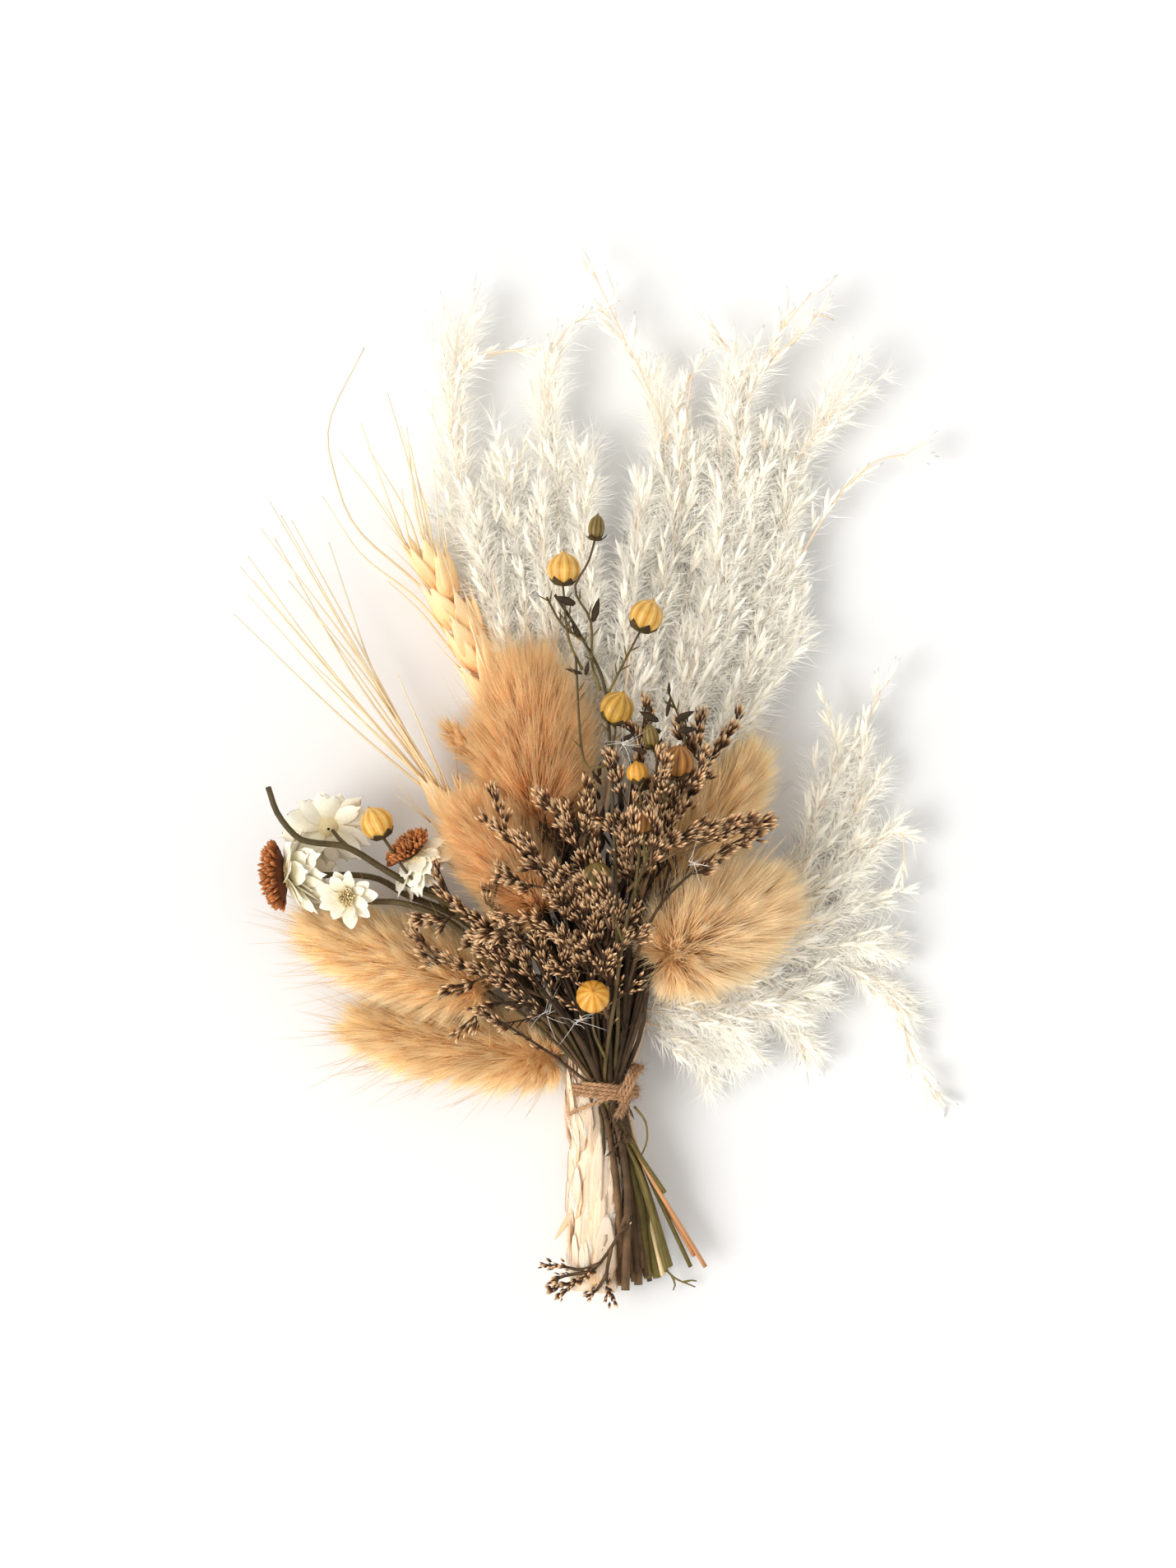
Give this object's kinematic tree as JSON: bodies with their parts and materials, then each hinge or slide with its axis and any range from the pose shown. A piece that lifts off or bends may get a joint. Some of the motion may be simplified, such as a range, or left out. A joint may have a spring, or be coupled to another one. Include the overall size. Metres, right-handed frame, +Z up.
{
  "type": "dried flower posy with wheat",
  "caption": "Small tied posy of dried grasses and flowers lying flat: plume grass, bunny tails, bearded wheat, sea lavender, flax capsules and everlastings.",
  "frame": {"origin": "on the surface, at the flat underside of the plume stems just below the tie", "axes": "+Y from the cut ends to the tips, +X to the right seen from above, +Z up from the surface"},
  "size_m": [0.1552, 0.229, 0.0414],
  "materials": {
    "ivory_plume": "matt, silky bleached grass plume",
    "tan_fur": "matt, fine soft bristles",
    "straw_wheat": "satin dry straw",
    "brown_lavender": "matt dry stems with pinkish cream florets",
    "olive_stalk": "matt ribbed dry stalk",
    "golden_capsule": "satin dry seed capsule",
    "cream_petal": "matt papery petal",
    "rust_disc": "matt bristly flower centre",
    "jute_twine": "matt rough jute fibre"
  },
  "bodies": {
    "root": {"bunny_tail_1": "tan_fur", "bunny_tail_2": "tan_fur", "bunny_tail_3": "tan_fur", "bunny_tail_4": "tan_fur", "bunny_tail_5": "tan_fur", "bunny_tail_6": "tan_fur", "bunny_tail_7": "tan_fur", "everlasting_1_disc": "rust_disc", "everlasting_1_petals": "cream_petal", "everlasting_2_disc": "rust_disc", "everlasting_2_petals": "cream_petal", "everlasting_3_disc": "rust_disc", "everlasting_3_petals": "cream_petal", "everlasting_4_disc": "rust_disc", "everlasting_4_petals": "cream_petal", "everlasting_stem_1": "olive_stalk", "everlasting_stem_2": "olive_stalk", "everlasting_stem_3": "olive_stalk", "flax_bud_10": "golden_capsule", "flax_bud_11": "golden_capsule", "flax_pod_1": "golden_capsule", "flax_pod_2": "golden_capsule", "flax_pod_3": "golden_capsule", "flax_pod_4": "golden_capsule", "flax_pod_5": "golden_capsule", "flax_pod_6": "golden_capsule", "flax_pod_7": "golden_capsule", "flax_pod_8": "golden_capsule", "flax_pod_9": "golden_capsule", "flax_stalk_left": "olive_stalk", "flax_stalk_lower": "olive_stalk", "flax_stalk_upper": "olive_stalk", "plume_edge": "ivory_plume", "plume_left": "ivory_plume", "plume_middle": "ivory_plume", "plume_right": "ivory_plume", "plume_side": "ivory_plume", "sea_lavender_left": "brown_lavender", "sea_lavender_middle": "brown_lavender", "sea_lavender_right": "brown_lavender", "twine": "jute_twine", "wheat_ear_1": "straw_wheat", "wheat_ear_2": "straw_wheat"}
  },
  "joints": []
}
